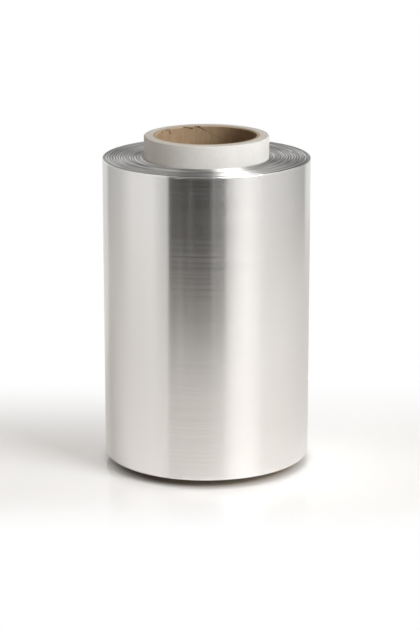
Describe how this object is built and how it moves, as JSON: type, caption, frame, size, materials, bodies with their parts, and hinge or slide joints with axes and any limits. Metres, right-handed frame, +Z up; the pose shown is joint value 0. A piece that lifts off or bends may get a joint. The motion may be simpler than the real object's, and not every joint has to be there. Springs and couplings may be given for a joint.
{
  "type": "aluminium foil roll",
  "caption": "Upright roll of aluminium foil wound on a white paperboard core with a brown kraft bore, the core standing out at both ends.",
  "frame": {"origin": "centre of the core's lower end, which the roll stands on", "axes": "+Z up along the roll's axis, from the end where the core stands out less to the end where it stands out more"},
  "size_m": [0.0832, 0.0833, 0.1346],
  "materials": {
    "foil": "bright rolled foil with fine lines round the roll",
    "white_board": "matt white paperboard",
    "kraft": "matt brown kraft paper"
  },
  "bodies": {
    "root": {"foil_roll": "foil", "core_tube": "white_board", "kraft_liner": "kraft"}
  },
  "joints": []
}
